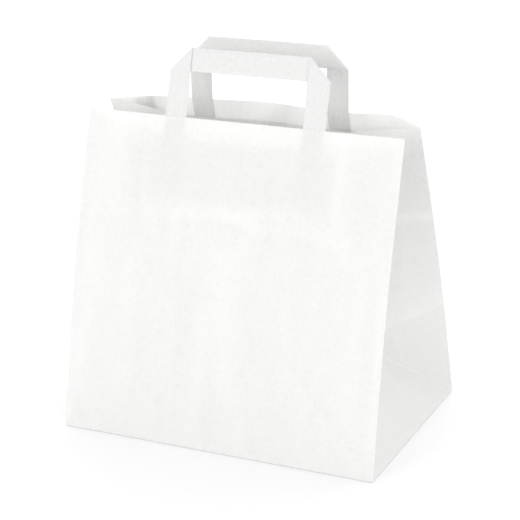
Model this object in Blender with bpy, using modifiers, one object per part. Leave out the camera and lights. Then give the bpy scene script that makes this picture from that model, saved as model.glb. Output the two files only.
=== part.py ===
"""A white paper carrier bag with a block bottom and two flat handles of folded tape.

The bag is one sheet, creased and glued into a tube with a gusset at each side, and closed at the
foot by flaps that fold over each other. It stands open as such a bag does once it has been shaken
out: the base is a full rectangle, the panels lean in, and each gusset is pushed in along its centre
fold from the apex of the triangle that the base pulls flat. Metres, +Z up, front towards -Y.
"""

import math

import bmesh
import bpy
from mathutils import Vector

# The flat bag
WIDTH = 0.260            # across a panel
GUSSET = 0.170           # across a gusset, which is the depth of the base
HEIGHT = 0.250           # up a panel, from the fold of the base to the tips of the pinked edge
PAPER = 0.00015          # one ply of the bag's paper
TOOTH_PITCH = 0.0030     # from tip to tip along the pinked mouth
TOOTH_DEPTH = 0.0011     # from tip to valley
BASE_FLAP = 0.100        # how far each flap of the base reaches in from its fold
FLAP_MARGIN = 0.0004     # between a flap's edge and the walls
LAP = 0.015              # width of the glued seam down the back
LAP_FROM_EDGE = 0.020    # from the rear panel's left fold to the lap's free edge
LAP_RAMP = 0.003         # where the second ply of the lap dies into the first

CORNER_FOLD = 0.0006     # paper taken up each side of a corner fold
CENTRE_FOLD = 0.0015     # the same at a gusset's centre fold

# How the bag stands once it is open
MOUTH_DEPTH = 0.030      # between the panels at the corners of the mouth
PANEL_BOW = 0.0045       # how far a panel stands out from a straight lean, at mid height
REAR_BULGE = 0.0110      # how far the rear panel's mouth is pushed back between its corners
BULGE_RISE = 3           # power of the height by which that bulge comes in
BULGE_SPREAD = 5         # power of the width by which it dies away at the corners
GUSSET_BOW = {1: 0.0045, -1: 0.0070}   # curve of the right and left gusset's rear half
CREASE_RISE = 0.0008     # how far paper stands up along a crease that was pressed flat
CREASE_REACH = 0.012     # how far from a crease that shows
PANEL_WAVE = 0.0009      # height of the soft waves across a panel
WAVE_LENGTH = 0.105      # from crest to crest
RIM_WAVES = (            # waves of the rear mouth's edge: where, how wide and how far back
    (-0.116, 0.012, -0.0025),
    (-0.002, 0.030, 0.0040),
    (0.102, 0.018, 0.0050),
)
RIM_RISE = 5             # power of the height by which those waves come in
RIM_SPREAD = 12          # power of the width by which they die away at the corners

# The handles
TAPE_WIDTH = 0.0177      # folded paper tape
TAPE = 0.0005            # its thickness, all plies
TAPE_PLY = 0.00012       # the ply that stops short along one edge
TAPE_SEAM = 0.0046       # from that edge to the step
FOLD_GAP = 0.0002        # air between leg and bar at a folded corner
HANDLE_WIDTH = 0.1315    # over the outer edges of the legs
CORNER_RISE = {"front": 0.0340, "rear": 0.0328}    # from the mouth to the foot of a corner's fold
LEG_INSIDE = 0.055       # leg glued inside the bag, below the mouth
HANDLE_LEAN = {"front": math.radians(20.3), "rear": math.radians(3.6)}
HANDLE_SHIFT = {"front": 0.0018, "rear": 0.0035}   # how far each handle sits right of the middle
HANDLE_SLANT = {"front": 0.0, "rear": 0.047}       # how far it slants to the right for its height
HANDLE_BOW = {"front": 0.0050, "rear": 0.0010}     # how far the bar bows out between the legs

# The patches glued over the legs
PATCH_BELOW_MOUTH = 0.016
PATCH_HEIGHT = 0.045
PATCH_MARGIN = 0.010     # paper beyond the legs at each side
PATCH_RAMP = 0.0025      # where the patch steps up over a leg
SEAT_GAP = 0.0003        # between pieces that lie face to face

# Cells of the mesh
PANEL_CELLS = 18
HALF_GUSSET_CELLS = 6
UPPER_CELLS = 12
CLIMB_STEPS = 24
STEP_RUN = 0.0003        # run of a step from one ply to two

HALF_WIDTH = WIDTH / 2
HALF_GUSSET = GUSSET / 2
FLOOR = 3 * PAPER        # the floor's upper face stands on its own ply and two of flap
TOOTH_ROW = HEIGHT - 2.5 * TOOTH_DEPTH
OUTWARD = {"front": Vector((0, -1, 0)), "rear": Vector((0, 1, 0))}


def spread(start, end, cells):
    """Evenly spaced values from start to end."""
    return [start + (end - start) * i / cells for i in range(cells + 1)]


def ridge(distance):
    """1 on a crease, falling smoothly to 0 at its reach."""
    share = max(0.0, 1 - abs(distance) / CREASE_REACH)
    return share * share


def wave(across, up):
    """Soft vertical waves, which stay below the glued legs."""
    top = HEIGHT - LEG_INSIDE - PATCH_MARGIN
    if not 0 < up < top:
        return 0.0
    window = math.sin(math.pi * up / top) ** 2 * (1 - (across / HALF_WIDTH) ** 2)
    return PANEL_WAVE * window * math.sin(2 * math.pi * across / WAVE_LENGTH + 9 * up / HEIGHT)


def rim_wave(across, up):
    """Soft waves of the rear mouth, which fade away down the panel."""
    waves = sum(height * math.exp(-((across - middle) / reach) ** 2) for middle, reach, height in RIM_WAVES)
    return waves * (up / HEIGHT) ** RIM_RISE * (1 - abs(across / HALF_WIDTH) ** RIM_SPREAD)


def stand_off(panel, across, up, waved=1.0):
    """Distance of a panel from the bag's middle plane. waved is how much of the rim's waves it has."""
    share = up / HEIGHT
    bow = PANEL_BOW * math.sin(math.pi * share)
    away = HALF_GUSSET - (HALF_GUSSET - MOUTH_DEPTH / 2) * share + bow
    if panel == "rear":
        dies = 1 - abs(across / HALF_WIDTH) ** BULGE_SPREAD
        away += REAR_BULGE * share ** BULGE_RISE * dies
        away += CREASE_RISE * ridge(up - HALF_GUSSET) * dies
        away += waved * rim_wave(across, up)
    away += 0.5 * CREASE_RISE * ridge(up - GUSSET) * (1 - (across / HALF_WIDTH) ** 2)
    return away + wave(across, up)


def panel_point(panel, across, up, waved=1.0):
    """Place on the inner face of the front or rear panel. The paper keeps its length up the panel."""
    height = FLOOR
    step = up / CLIMB_STEPS
    before = stand_off(panel, across, 0.0, waved)
    for i in range(1, CLIMB_STEPS + 1):
        after = stand_off(panel, across, i * step, waved)
        height += math.sqrt(max(step * step - (after - before) ** 2, 0.0))
        before = after
    return Vector((across, 0, height)) + OUTWARD[panel] * before


def panel_inward(panel, across, up):
    """Direction into the bag, square to the panel."""
    reach = 0.001
    side = panel_point(panel, across + reach, up) - panel_point(panel, across - reach, up)
    rise = panel_point(panel, across, up) - panel_point(panel, across, up - reach)
    square = side.cross(rise).normalized()
    return square if square.dot(OUTWARD[panel]) < 0 else -square


def apex_of_base():
    """Where the base's 45 degree creases meet on the right gusset, with every crease at its length."""
    corner = panel_point("rear", HALF_WIDTH, HALF_GUSSET) - Vector((HALF_WIDTH, 0, FLOOR))
    lean_cosine = (corner.y ** 2 + corner.z ** 2) / (GUSSET * corner.z)
    lean = math.acos(min(lean_cosine, 1.0))
    return Vector((HALF_WIDTH - HALF_GUSSET * math.sin(lean), 0, FLOOR + HALF_GUSSET * math.cos(lean)))


def top_of_centre_fold(apex):
    """Top of the right gusset's centre fold: half a gusset from each corner of the mouth."""
    corner = panel_point("rear", HALF_WIDTH, HEIGHT)
    from_corner = math.sqrt(HALF_GUSSET ** 2 - corner.y ** 2)
    from_apex = HEIGHT - HALF_GUSSET
    to_corner = Vector((corner.x - apex.x, corner.z - apex.z))
    span = to_corner.length
    along = (from_apex ** 2 - from_corner ** 2 + span ** 2) / (2 * span)
    aside = math.sqrt(max(from_apex ** 2 - along ** 2, 0.0))
    unit = to_corner / span
    return Vector((apex.x + along * unit.x - aside * unit.y, 0, apex.z + along * unit.y + aside * unit.x))


APEX = apex_of_base()
CENTRE_TOP = top_of_centre_fold(APEX)


def gusset_point(side, across, up):
    """Place on the inner face of a gusset: side is 1 right or -1 left, across runs front to rear."""
    panel = "rear" if across > 0 else "front"
    out = 1 if across > 0 else -1
    share = abs(across) / HALF_GUSSET
    corner = panel_point(panel, HALF_WIDTH, up)
    if up >= HALF_GUSSET:
        climbed = (up - HALF_GUSSET) / (HEIGHT - HALF_GUSSET)
        centre = APEX.lerp(CENTRE_TOP, climbed)
        place = centre.lerp(corner, share)
        bow = GUSSET_BOW[side] if out > 0 else 0.4 * GUSSET_BOW[side]
        place.y += out * bow * climbed * math.sin(math.pi * share)
        place.y += out * 0.5 * CREASE_RISE * ridge(up - GUSSET) * math.sin(math.pi * share)
    elif up <= HALF_GUSSET - abs(across):
        place = Vector((HALF_WIDTH, across, FLOOR)).lerp(APEX + Vector((0, across, 0)), up / HALF_GUSSET)
    else:
        climbed = up / HALF_GUSSET
        foot = Vector((HALF_WIDTH, out * HALF_GUSSET, FLOOR))
        head = panel_point(panel, HALF_WIDTH, HALF_GUSSET)
        shares = (1 - climbed, climbed + share - 1, 1 - share)
        place = foot * shares[0] + head * shares[1] + APEX * shares[2]
        place += (corner - foot.lerp(head, climbed)) * shares[1] / climbed
    place.x *= side
    return place


def sheet_point(panel, across, up):
    """Place on the inner face of the folded sheet."""
    if panel == "right":
        return gusset_point(1, across, up)
    if panel == "left":
        return gusset_point(-1, across, up)
    return panel_point(panel, across, up)


def rear_columns():
    """Places across the rear panel, from right to left, with one at each edge of the lap."""
    end = HALF_WIDTH - CORNER_FOLD
    free_edge = LAP_FROM_EDGE - HALF_WIDTH
    marks = [free_edge - STEP_RUN, free_edge, free_edge + LAP, free_edge + LAP + LAP_RAMP]
    even = [x for x in spread(-end, end, PANEL_CELLS)
            if not marks[0] - LAP_RAMP < x < marks[3] + LAP_RAMP]
    return sorted(even + marks, reverse=True), marks


def half_gusset_columns():
    """Places across half a gusset, from beside its centre fold to beside its corner fold."""
    inner = spread(0, HALF_GUSSET, HALF_GUSSET_CELLS)[1:-1]
    return [CENTRE_FOLD] + inner + [HALF_GUSSET - CORNER_FOLD]


def sheet_columns():
    """Every column of the sheet, once round the bag, as (panel, across, plies)."""
    end = HALF_WIDTH - CORNER_FOLD
    half = half_gusset_columns()
    gusset = [-y for y in reversed(half)] + half
    rear, marks = rear_columns()
    columns = [("front", x, 1) for x in spread(-end, end, PANEL_CELLS)]
    columns += [("right", y, 1) for y in gusset]
    columns += [("rear", x, 2 if x in marks[1:3] else 1) for x in rear]
    columns += [("left", y, 1) for y in reversed(gusset)]
    return columns


def sheet_rows():
    """Heights up the sheet. The lower ones meet the 45 degree creases at the gusset's columns."""
    lower = spread(0, HALF_GUSSET, HALF_GUSSET_CELLS)
    folds = [CORNER_FOLD, HALF_GUSSET - CENTRE_FOLD]
    return sorted(lower + folds) + spread(HALF_GUSSET, TOOTH_ROW, UPPER_CELLS)[1:]


def on_base_crease(column, up):
    """True on the 45 degree creases that run up a gusset from the corners of the base."""
    panel, across, _ = column
    return panel in ("left", "right") and abs(abs(across) + up - HALF_GUSSET) < 1e-7


def new_material(name, colour, roughness):
    """Plain paper."""
    material = bpy.data.materials.new(name)
    material.use_nodes = True
    shader = material.node_tree.nodes["Principled BSDF"]
    shader.inputs["Base Color"].default_value = (*colour, 1)
    shader.inputs["Roughness"].default_value = roughness
    shader.inputs["Metallic"].default_value = 0.0
    return material


def add_object(name, mesh, collection, material=None):
    """Put a mesh in the scene."""
    item = bpy.data.objects.new(name, mesh)
    collection.objects.link(item)
    if material:
        mesh.materials.append(material)
    return item


def thicken(item, thickness, group=None):
    """Give a sheet its paper, growing from its drawn face along its normals."""
    solidify = item.modifiers.new("paper", "SOLIDIFY")
    solidify.thickness = thickness
    solidify.offset = 1
    solidify.use_even_offset = True
    solidify.use_quality_normals = True
    if group:
        solidify.vertex_group = group


def bag_mesh():
    """The folded sheet as an open surface, with the plies of each point."""
    shape = bmesh.new()
    columns = sheet_columns()
    rows = sheet_rows()
    plies = []
    grid = []
    for up in rows:
        ring = []
        for panel, across, thick in columns:
            ring.append(shape.verts.new(sheet_point(panel, across, up)))
            plies.append(thick if up else 1)
        grid.append(ring)
    for row in range(len(rows) - 1):
        for i, column in enumerate(columns):
            j = (i + 1) % len(columns)
            quad = [grid[row][i], grid[row][j], grid[row + 1][j], grid[row + 1][i]]
            if on_base_crease(columns[j], rows[row]) and on_base_crease(column, rows[row + 1]):
                shape.faces.new((quad[0], quad[1], quad[3]))
                shape.faces.new((quad[1], quad[2], quad[3]))
            elif on_base_crease(column, rows[row]) and on_base_crease(columns[j], rows[row + 1]):
                shape.faces.new(quad[:3])
                shape.faces.new((quad[0], quad[2], quad[3]))
            else:
                shape.faces.new(quad)
    middle = shape.verts.new((0, 0, FLOOR))
    plies.append(1)
    for i, foot in enumerate(grid[0]):
        shape.faces.new((foot, middle, grid[0][(i + 1) % len(columns)]))
    add_teeth(shape, columns, grid[-1], plies)
    mesh = bpy.data.meshes.new("bag_body")
    shape.to_mesh(mesh)
    shape.free()
    return mesh, plies


def add_teeth(shape, columns, top_ring, plies):
    """Run the pinked edge round the mouth: each cell of the top row ends in whole teeth."""
    starts = []
    for panel, across, thick in columns:
        starts.append(shape.verts.new(sheet_point(panel, across, HEIGHT - TOOTH_DEPTH)))
        plies.append(thick)
    for i, (panel, across, thick) in enumerate(columns):
        j = (i + 1) % len(columns)
        if columns[j][0] != panel:
            shape.faces.new((top_ring[i], top_ring[j], starts[j], starts[i]))
            continue
        end = columns[j][1]
        teeth = max(round(abs(end - across) / TOOTH_PITCH), 1)
        places = spread(across, end, 2 * teeth)[1:-1]
        edge = []
        for k, at in enumerate(places):
            up = HEIGHT - TOOTH_DEPTH * (k % 2)
            edge.append(shape.verts.new(sheet_point(panel, at, up)))
            plies.append(min(thick, columns[j][2]))
        valleys = [starts[i]] + edge[1::2] + [starts[j]]
        middle = teeth // 2
        for k in range(teeth):
            shape.faces.new((valleys[k], valleys[k + 1], edge[2 * k]))
            foot = top_ring[i] if k < middle else top_ring[j]
            shape.faces.new((foot, valleys[k + 1], valleys[k]))
        shape.faces.new((top_ring[i], top_ring[j], valleys[middle]))


def flap_plate(name, outline, low, high, collection):
    """A flap of the base as a flat plate between two heights."""
    shape = bmesh.new()
    face = shape.faces.new([shape.verts.new((x, y, low)) for x, y in outline])
    raised = bmesh.ops.extrude_face_region(shape, geom=[face])
    moved = [item for item in raised["geom"] if isinstance(item, bmesh.types.BMVert)]
    bmesh.ops.translate(shape, verts=moved, vec=(0, 0, high - low))
    bmesh.ops.recalc_face_normals(shape, faces=shape.faces)
    mesh = bpy.data.meshes.new(name)
    shape.to_mesh(mesh)
    shape.free()
    item = add_object(name, mesh, collection)
    item.hide_render = True
    item.display_type = "WIRE"
    return item


def base_flaps(collection):
    """The flaps that close the foot: two long ones below the floor and two short ones on it.

    Past the free edge of the front one, the rear one settles onto the table too.
    """
    long_edge = HALF_WIDTH - FLAP_MARGIN
    deep_edge = HALF_GUSSET - FLAP_MARGIN
    tip = BASE_FLAP - FLAP_MARGIN
    free_edge = tip - deep_edge
    settled = min(deep_edge - free_edge, tip) - 2 * PAPER
    flaps = []
    for name, side, plies, inset, reach in (("front_flap", -1, 3, 0, tip), ("rear_flap", 1, 2, 0, tip),
                                            ("settled_flap", 1, 3, PAPER, settled)):
        wide = long_edge - 2 * inset
        narrow = long_edge - inset - reach
        deep = side * (deep_edge - inset)
        inner = side * (deep_edge - reach)
        outline = [(-wide, deep), (wide, deep), (narrow, inner), (-narrow, inner)]
        flaps.append(flap_plate(name, outline, FLOOR - plies * PAPER, FLOOR - PAPER / 2, collection))
    for name, side in (("right_flap", 1), ("left_flap", -1)):
        inner = side * (HALF_WIDTH - BASE_FLAP)
        outer = side * long_edge
        outline = [(inner, -deep_edge), (outer, -deep_edge), (outer, deep_edge), (inner, deep_edge)]
        flaps.append(flap_plate(name, outline, FLOOR - PAPER / 2, FLOOR + PAPER, collection))
    return flaps


def build_bag(collection, helpers, paper):
    """The sheet, given its paper, with the lap down the back and the flaps of the base."""
    mesh, plies = bag_mesh()
    body = add_object("bag_body", mesh, collection, paper)
    group = body.vertex_groups.new(name="plies")
    for index, count in enumerate(plies):
        group.add([index], count / 2, "REPLACE")
    thicken(body, 2 * PAPER, "plies")
    for flap in base_flaps(helpers):
        join = body.modifiers.new(flap.name, "BOOLEAN")
        join.operation = "UNION"
        join.solver = "EXACT"
        join.object = flap
    return body


def handle_point(panel, across, up, inward):
    """Place on a handle: up is counted from the mouth, inward from the panel's inner face."""
    at = across + HANDLE_SHIFT[panel] + HANDLE_SLANT[panel] * max(up, 0.0)
    if up <= 0:
        return panel_point(panel, at, HEIGHT + up) + panel_inward(panel, at, HEIGHT + up) * inward
    square = panel_inward(panel, at, HEIGHT)
    lean = HANDLE_LEAN[panel]
    rise = Vector((0, 0, math.cos(lean))) - OUTWARD[panel] * math.sin(lean)
    off_plane = -OUTWARD[panel] * math.cos(lean) - Vector((0, 0, math.sin(lean)))
    turned = square.lerp(off_plane, min(1.0, up / TAPE_WIDTH)).normalized()
    risen = min(1.0, up / CORNER_RISE[panel])
    bow = HANDLE_BOW[panel] * risen ** 2 * (1 - (2 * across / HANDLE_WIDTH) ** 2)
    return panel_point(panel, at, HEIGHT, 1 - risen) + rise * up + turned * (inward - bow)


def leg_rows(side, rise, columns):
    """One leg of a handle, from its glued end up to the foot of the corner fold."""
    rows = []
    levels = spread(-LEG_INSIDE, 0, 5) + spread(0, rise, 4)[1:]
    for up in levels:
        rows.append([(side * (HANDLE_WIDTH / 2 - w), up, SEAT_GAP) for w in columns])
    return rows


def corner_rows(side, rise, columns):
    """The 45 degree fold that turns a leg into the bar, as half a turn about its crease."""
    radius = TAPE + FOLD_GAP / 2
    outer = HANDLE_WIDTH / 2
    rows = []
    for angle in spread(0, math.pi, 4):
        reach = radius * math.sin(angle) * math.sqrt(0.5)
        inward = SEAT_GAP + radius * (1 - math.cos(angle))
        rows.append([(side * (outer - w + reach), rise + w + reach, inward) for w in columns])
    return rows


def build_handle(panel, collection, paper):
    """A flat tape that climbs one leg, folds across and folds down again, drawn on its smooth face."""
    columns = [0, TAPE_SEAM, TAPE_SEAM + STEP_RUN, TAPE_WIDTH]
    full = HANDLE_WIDTH / 2 - TAPE_WIDTH
    rise = CORNER_RISE[panel]
    bar_inward = SEAT_GAP + 2 * TAPE + FOLD_GAP
    rows = leg_rows(-1, rise, columns) + corner_rows(-1, rise, columns)
    for x in spread(-full, full, 10):
        rows.append([(x, rise + w, bar_inward) for w in columns])
    rows += corner_rows(1, rise, columns)[::-1] + leg_rows(1, rise, columns)[::-1]
    shape = bmesh.new()
    plies = shape.verts.layers.deform.verify()
    grid = [[shape.verts.new(handle_point(panel, *place)) for place in row] for row in rows]
    for row in grid:
        for w, point in zip(columns, row):
            point[plies][0] = 1 - TAPE_PLY / TAPE if w <= TAPE_SEAM else 1.0
    for lower, upper in zip(grid, grid[1:]):
        for i in range(len(columns) - 1):
            shape.faces.new((lower[i], lower[i + 1], upper[i + 1], upper[i]))
    bmesh.ops.remove_doubles(shape, verts=shape.verts, dist=1e-6)
    bmesh.ops.recalc_face_normals(shape, faces=shape.faces)
    leg_face = min(shape.faces, key=lambda face: face.calc_center_median().z)
    if leg_face.normal.dot(OUTWARD[panel]) > 0:
        bmesh.ops.reverse_faces(shape, faces=shape.faces)
    mesh = bpy.data.meshes.new(panel + "_handle")
    shape.to_mesh(mesh)
    shape.free()
    handle = add_object(panel + "_handle", mesh, collection, paper)
    handle.vertex_groups.new(name="plies")
    thicken(handle, TAPE, "plies")
    return handle


def patch_inward(across):
    """How far the patch lies from the panel: it steps up over each leg."""
    outer = HANDLE_WIDTH / 2
    inner = outer - TAPE_WIDTH
    beyond = max(abs(across) - outer, inner - abs(across), 0.0)
    share = min(max((beyond - STEP_RUN) / PATCH_RAMP, 0.0), 1.0)
    return SEAT_GAP + (1 - share) * (TAPE + SEAT_GAP)


def build_patch(panel, collection, paper):
    """The paper patch inside the bag that holds both legs of a handle."""
    outer = HANDLE_WIDTH / 2
    inner = outer - TAPE_WIDTH
    half = [0, inner / 2, inner - STEP_RUN - PATCH_RAMP, inner - STEP_RUN, (inner + outer) / 2,
            outer + STEP_RUN, outer + STEP_RUN + PATCH_RAMP, outer + PATCH_MARGIN]
    columns = [-x for x in half[:0:-1]] + half
    levels = spread(-PATCH_BELOW_MOUTH - PATCH_HEIGHT, -PATCH_BELOW_MOUTH, 5)
    shape = bmesh.new()
    grid = [[shape.verts.new(handle_point(panel, x, up, patch_inward(x))) for x in columns] for up in levels]
    for lower, upper in zip(grid, grid[1:]):
        for i in range(len(columns) - 1):
            shape.faces.new((lower[i], lower[i + 1], upper[i + 1], upper[i]))
    bmesh.ops.recalc_face_normals(shape, faces=shape.faces)
    if shape.faces[:][0].normal.dot(OUTWARD[panel]) > 0:
        bmesh.ops.reverse_faces(shape, faces=shape.faces)
    mesh = bpy.data.meshes.new(panel + "_handle_patch")
    shape.to_mesh(mesh)
    shape.free()
    patch = add_object(panel + "_handle_patch", mesh, collection, paper)
    thicken(patch, PAPER)
    return patch


def clear_scene():
    """Start from an empty scene."""
    for item in list(bpy.data.objects):
        bpy.data.objects.remove(item, do_unlink=True)


def new_collection(name):
    """A collection linked to the scene."""
    collection = bpy.data.collections.new(name)
    bpy.context.scene.collection.children.link(collection)
    return collection


def main():
    """Make the bag, its handles and their patches."""
    clear_scene()
    bag = new_collection("paper_carrier_bag")
    helpers = new_collection("helpers")
    build_bag(bag, helpers, new_material("bag_paper", (0.90, 0.90, 0.89), 0.75))
    for panel in ("front", "rear"):
        build_handle(panel, bag, new_material(panel + "_tape_paper", (0.86, 0.86, 0.85), 0.70))
        build_patch(panel, bag, new_material(panel + "_patch_paper", (0.88, 0.88, 0.87), 0.75))


main()
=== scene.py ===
# %% [markdown]
# # A white paper carrier bag with flat handles
#
# The bag is one sheet of thin kraft paper, creased, glued into a tube and closed at the foot by
# flaps. Two handles of folded paper tape are glued inside the mouth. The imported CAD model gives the
# places and the real size. This script makes the fine surface around it: soft creases, pinked teeth,
# plies, and paper that lets a little light through.

# %% Load the frame and keep its size
import math

import bmesh
import bpy
import numpy as np
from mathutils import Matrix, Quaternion, Vector


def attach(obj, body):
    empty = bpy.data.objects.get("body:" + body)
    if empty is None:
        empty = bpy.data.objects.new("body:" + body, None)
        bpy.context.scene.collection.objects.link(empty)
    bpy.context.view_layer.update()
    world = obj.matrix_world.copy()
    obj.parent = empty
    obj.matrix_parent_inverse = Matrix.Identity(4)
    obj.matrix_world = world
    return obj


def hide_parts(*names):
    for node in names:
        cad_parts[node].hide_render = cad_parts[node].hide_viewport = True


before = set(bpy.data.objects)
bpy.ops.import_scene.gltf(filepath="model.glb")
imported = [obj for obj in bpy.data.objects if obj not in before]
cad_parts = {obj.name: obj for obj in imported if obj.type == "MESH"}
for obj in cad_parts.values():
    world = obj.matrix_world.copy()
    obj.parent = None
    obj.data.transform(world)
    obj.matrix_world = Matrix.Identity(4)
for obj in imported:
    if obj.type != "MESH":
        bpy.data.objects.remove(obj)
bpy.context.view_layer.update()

# %% [markdown]
# ## The camera
#
# A long lens from about 1.35 m, a little above the mouth and 26 degrees round to the bag's right,
# shows the front panel almost square and the right gusset at a steep angle. The camera looks at a
# point near the middle of the bag, and a roll of two degrees about its own axis levels the picture.

# %% Camera
CAMERA_AZIMUTH = math.radians(26.34)
CAMERA_ELEVATION = math.radians(20.66)
CAMERA_ROLL = math.radians(-2.19)
CAMERA_DISTANCE = 1.3516
CAMERA_TARGET = Vector((0.00364, 0, 0.12623))
FOCAL_LENGTH_PX = 1756.5
PICTURE_PX = 520
SENSOR_MM = 36.0


def in_scene(name, data):
    """A new object in the scene that holds some data."""
    item = bpy.data.objects.new(name, data)
    bpy.context.scene.collection.objects.link(item)
    return item


def stand(item, azimuth, elevation, distance, roll=0.0):
    """Stand a camera or a lamp at its angles and distance from the target, looking at it."""
    flat = math.cos(elevation)
    back = Vector((math.sin(azimuth) * flat, -math.cos(azimuth) * flat, math.sin(elevation)))
    item.location = CAMERA_TARGET + back * distance
    item.rotation_mode = "QUATERNION"
    item.rotation_quaternion = (-back).to_track_quat("-Z", "Y") @ Quaternion((0, 0, 1), roll)


def add_camera():
    """The camera with its lens, in its place."""
    lens = bpy.data.cameras.new("studio_camera")
    lens.sensor_width = SENSOR_MM
    lens.lens = FOCAL_LENGTH_PX / PICTURE_PX * SENSOR_MM
    lens.clip_start = 0.05
    camera = in_scene("studio_camera", lens)
    stand(camera, CAMERA_AZIMUTH, CAMERA_ELEVATION, CAMERA_DISTANCE, CAMERA_ROLL)
    bpy.context.scene.camera = camera
    return camera


camera = add_camera()
print("lens in mm:", round(camera.data.lens, 1))

# %% [markdown]
# ## The sizes of the flat bag
#
# A paper bag starts as a flat sheet, so its driving sizes are those of the sheet: how wide a panel
# is, how deep a gusset is and how high the paper reaches. Every place on the sheet is then named by
# its panel, how far across that panel it lies, and how far up the paper it is from the base.

# %% Sizes of the flat bag
WIDTH = 0.260
GUSSET = 0.170
HEIGHT = 0.250
PAPER = 0.00015
TOOTH_PITCH = 0.0030
TOOTH_DEPTH = 0.0011
HALF_WIDTH = WIDTH / 2
HALF_GUSSET = GUSSET / 2
FLOOR = 3 * PAPER

# %% [markdown]
# ## How the panels stand
#
# Once it is shaken out, the base is a full rectangle and the two panels lean in towards the mouth.
# Each panel bows a little, and the rear one is pushed back between the corners of its mouth. Paper
# bends but doesn't stretch, so the height of a point comes from climbing the panel in small steps
# of fixed length: the more the panel leans, the less each step rises.

# %% Places on the front and rear panels
MOUTH_DEPTH = 0.030
PANEL_BOW = 0.0045
REAR_BULGE = 0.0110
BULGE_RISE = 3
BULGE_SPREAD = 5
CREASE_RISE = 0.0008
CREASE_REACH = 0.012
PANEL_WAVE = 0.0009
WAVE_LENGTH = 0.105
WAVE_LEAN = 9
RIM_WAVES = ((-0.116, 0.012, -0.0025), (-0.002, 0.030, 0.0040), (0.102, 0.018, 0.0050))
RIM_RISE = 5
RIM_SPREAD = 12
LEG_INSIDE = 0.055
PATCH_MARGIN = 0.010
CLIMB_STEPS = 24
OUT = {"front": -1, "rear": 1}


def ridge(distance):
    """1 on a crease, falling smoothly to 0 at its reach."""
    return np.clip(1 - np.abs(distance) / CREASE_REACH, 0, None) ** 2


def wave(across, up):
    """Soft vertical waves, which stay below the glued legs."""
    climbed = np.clip(up / (HEIGHT - LEG_INSIDE - PATCH_MARGIN), 0, 1)
    window = np.sin(np.pi * climbed) ** 2 * (1 - (across / HALF_WIDTH) ** 2)
    return PANEL_WAVE * window * np.sin(2 * np.pi * across / WAVE_LENGTH + WAVE_LEAN * up / HEIGHT)


def rim_wave(across, up):
    """Soft waves of the rear mouth, each given by its middle, reach and height, fading down the panel."""
    waves = sum(height * np.exp(-((across - middle) / reach) ** 2) for middle, reach, height in RIM_WAVES)
    return waves * (up / HEIGHT) ** RIM_RISE * (1 - np.abs(across / HALF_WIDTH) ** RIM_SPREAD)


def stand_off(panel, across, up, waved=1.0):
    """Distance of a panel from the bag's middle plane. waved is how much of the rim's waves it has."""
    share = up / HEIGHT
    away = HALF_GUSSET - (HALF_GUSSET - MOUTH_DEPTH / 2) * share + PANEL_BOW * np.sin(np.pi * share)
    away = away + 0.5 * CREASE_RISE * ridge(up - GUSSET) * (1 - (across / HALF_WIDTH) ** 2)
    if panel == "rear":
        dies = 1 - np.abs(across / HALF_WIDTH) ** BULGE_SPREAD
        away = away + REAR_BULGE * share ** BULGE_RISE * dies
        away = away + CREASE_RISE * ridge(up - HALF_GUSSET) * dies + waved * rim_wave(across, up)
    return away + wave(across, up)


def panel_point(panel, across, up, waved=1.0):
    """Places on the inner face of the front or rear panel."""
    across, up = np.broadcast_arrays(np.asarray(across, float), np.asarray(up, float))
    step = up / CLIMB_STEPS
    height = np.full(up.shape, FLOOR)
    before = stand_off(panel, across, 0 * up, waved)
    for i in range(1, CLIMB_STEPS + 1):
        after = stand_off(panel, across, i * step, waved)
        height = height + np.sqrt(np.clip(step ** 2 - (after - before) ** 2, 0, None))
        before = after
    return np.stack([across, OUT[panel] * before, height], axis=-1)


print("rear mouth, middle:", (panel_point("rear", 0, HEIGHT) * 1000).round(1))

# %% [markdown]
# ## How the gussets fold
#
# The base pulls the foot of each gusset flat into a triangle. Above its apex the gusset is pushed in
# along its centre fold, so it is two flat-ish halves that meet in a valley. Where the valley lies
# isn't free: every crease keeps its length, and that fixes the apex and the top of the centre fold.
# The places between follow from those points, with a small bow that the springy paper keeps.

# %% Places on the gussets
GUSSET_BOW = {1: 0.0045, -1: 0.0070}
FRONT_BOW_SHARE = 0.4
NEAR = 1e-9


def apex_of_base():
    """Where the base's 45 degree creases meet on the right gusset."""
    corner = panel_point("rear", HALF_WIDTH, HALF_GUSSET) - (HALF_WIDTH, 0, FLOOR)
    lean = math.acos(min((corner[1] ** 2 + corner[2] ** 2) / (GUSSET * corner[2]), 1))
    return np.array([HALF_WIDTH - HALF_GUSSET * math.sin(lean), 0, FLOOR + HALF_GUSSET * math.cos(lean)])


def top_of_centre_fold(apex):
    """Top of the right gusset's centre fold, half a gusset from each corner of the mouth."""
    corner = panel_point("rear", HALF_WIDTH, HEIGHT)
    from_corner = math.sqrt(HALF_GUSSET ** 2 - corner[1] ** 2)
    from_apex = HEIGHT - HALF_GUSSET
    chord = np.array([corner[0] - apex[0], corner[2] - apex[2]])
    span = math.hypot(*chord)
    along = (from_apex ** 2 - from_corner ** 2 + span ** 2) / (2 * span)
    aside = math.sqrt(from_apex ** 2 - along ** 2)
    unit = chord / span
    right = apex[0] + along * unit[0] - aside * unit[1]
    height = apex[2] + along * unit[1] + aside * unit[0]
    return np.array([right, 0, height])


APEX = apex_of_base()
CENTRE_TOP = top_of_centre_fold(APEX)


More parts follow.
